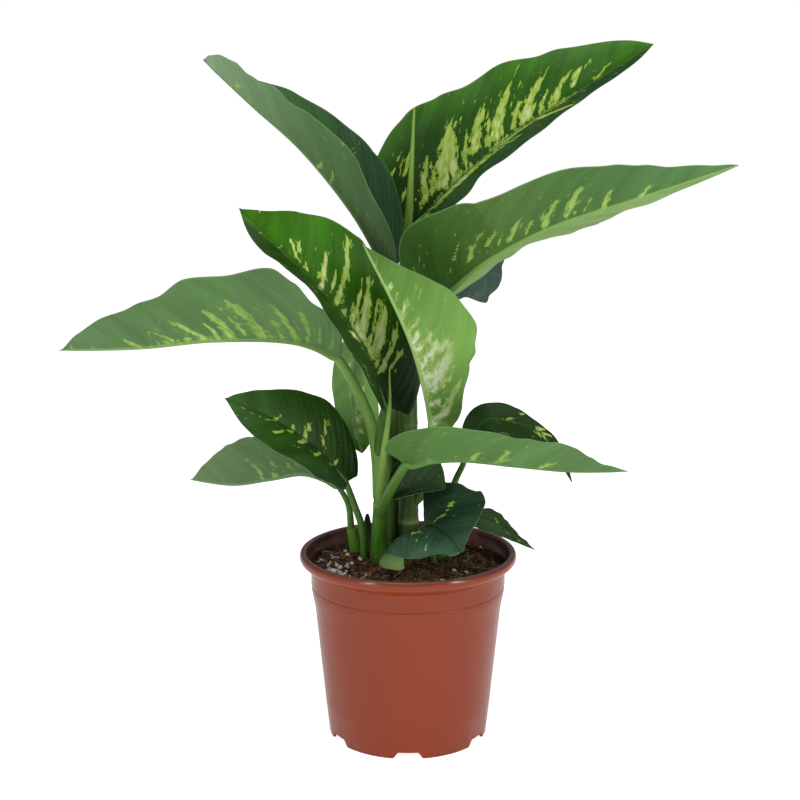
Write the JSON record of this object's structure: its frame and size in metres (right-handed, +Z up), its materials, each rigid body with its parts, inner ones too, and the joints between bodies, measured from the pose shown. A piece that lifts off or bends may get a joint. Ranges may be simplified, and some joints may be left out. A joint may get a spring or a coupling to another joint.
{
  "type": "potted dieffenbachia",
  "caption": "Foliage house plant with large wavy cream-streaked leaves on a cane and basal shoots, standing in soil in a round tapered plastic nursery pot",
  "frame": {"origin": "on the pot's axis at the level of the surface that the pot stands on, within a few millimetres of the base plate's underside", "axes": "+Z up along the pot's axis and the plant's height, +X to the right in the picture, -Y towards the viewer"},
  "size_m": [0.5554, 0.2428, 0.6036],
  "materials": {
    "pot_plastic": "satin moulded polypropylene, terracotta brown",
    "peat": "damp fibrous peat with perlite",
    "stem": "smooth green cane and sheaths",
    "dead_stem": "dry dark cut stem",
    "young_leaf": "satin light green rolled leaf",
    "leaf": "semi-gloss dark green with cream streaks, matte paler underside",
    "light_leaf": "satin light green with whitish streaks"
  },
  "bodies": {
    "root": {"pot": "pot_plastic", "soil": "peat", "mainCane": "stem", "frontShoot": "stem", "leftShoot": "stem", "backShoot": "stem", "rightShoot": "stem", "cutStub": "dead_stem", "spearTop": "young_leaf", "spearFront": "young_leaf", "leafTopLeft": "leaf", "leafTopRight": "leaf", "leafRight": "leaf", "leafLeft": "leaf", "leafCentre": "leaf", "leafFront": "light_leaf", "leafLowDark": "leaf", "leafLowPale": "leaf", "leafLowRight": "leaf", "leafBehindLow": "leaf", "leafCurled": "leaf", "leafHanging": "leaf", "leafOverRim": "leaf", "leafShade": "leaf", "leafBackLeft": "light_leaf"}
  },
  "joints": []
}
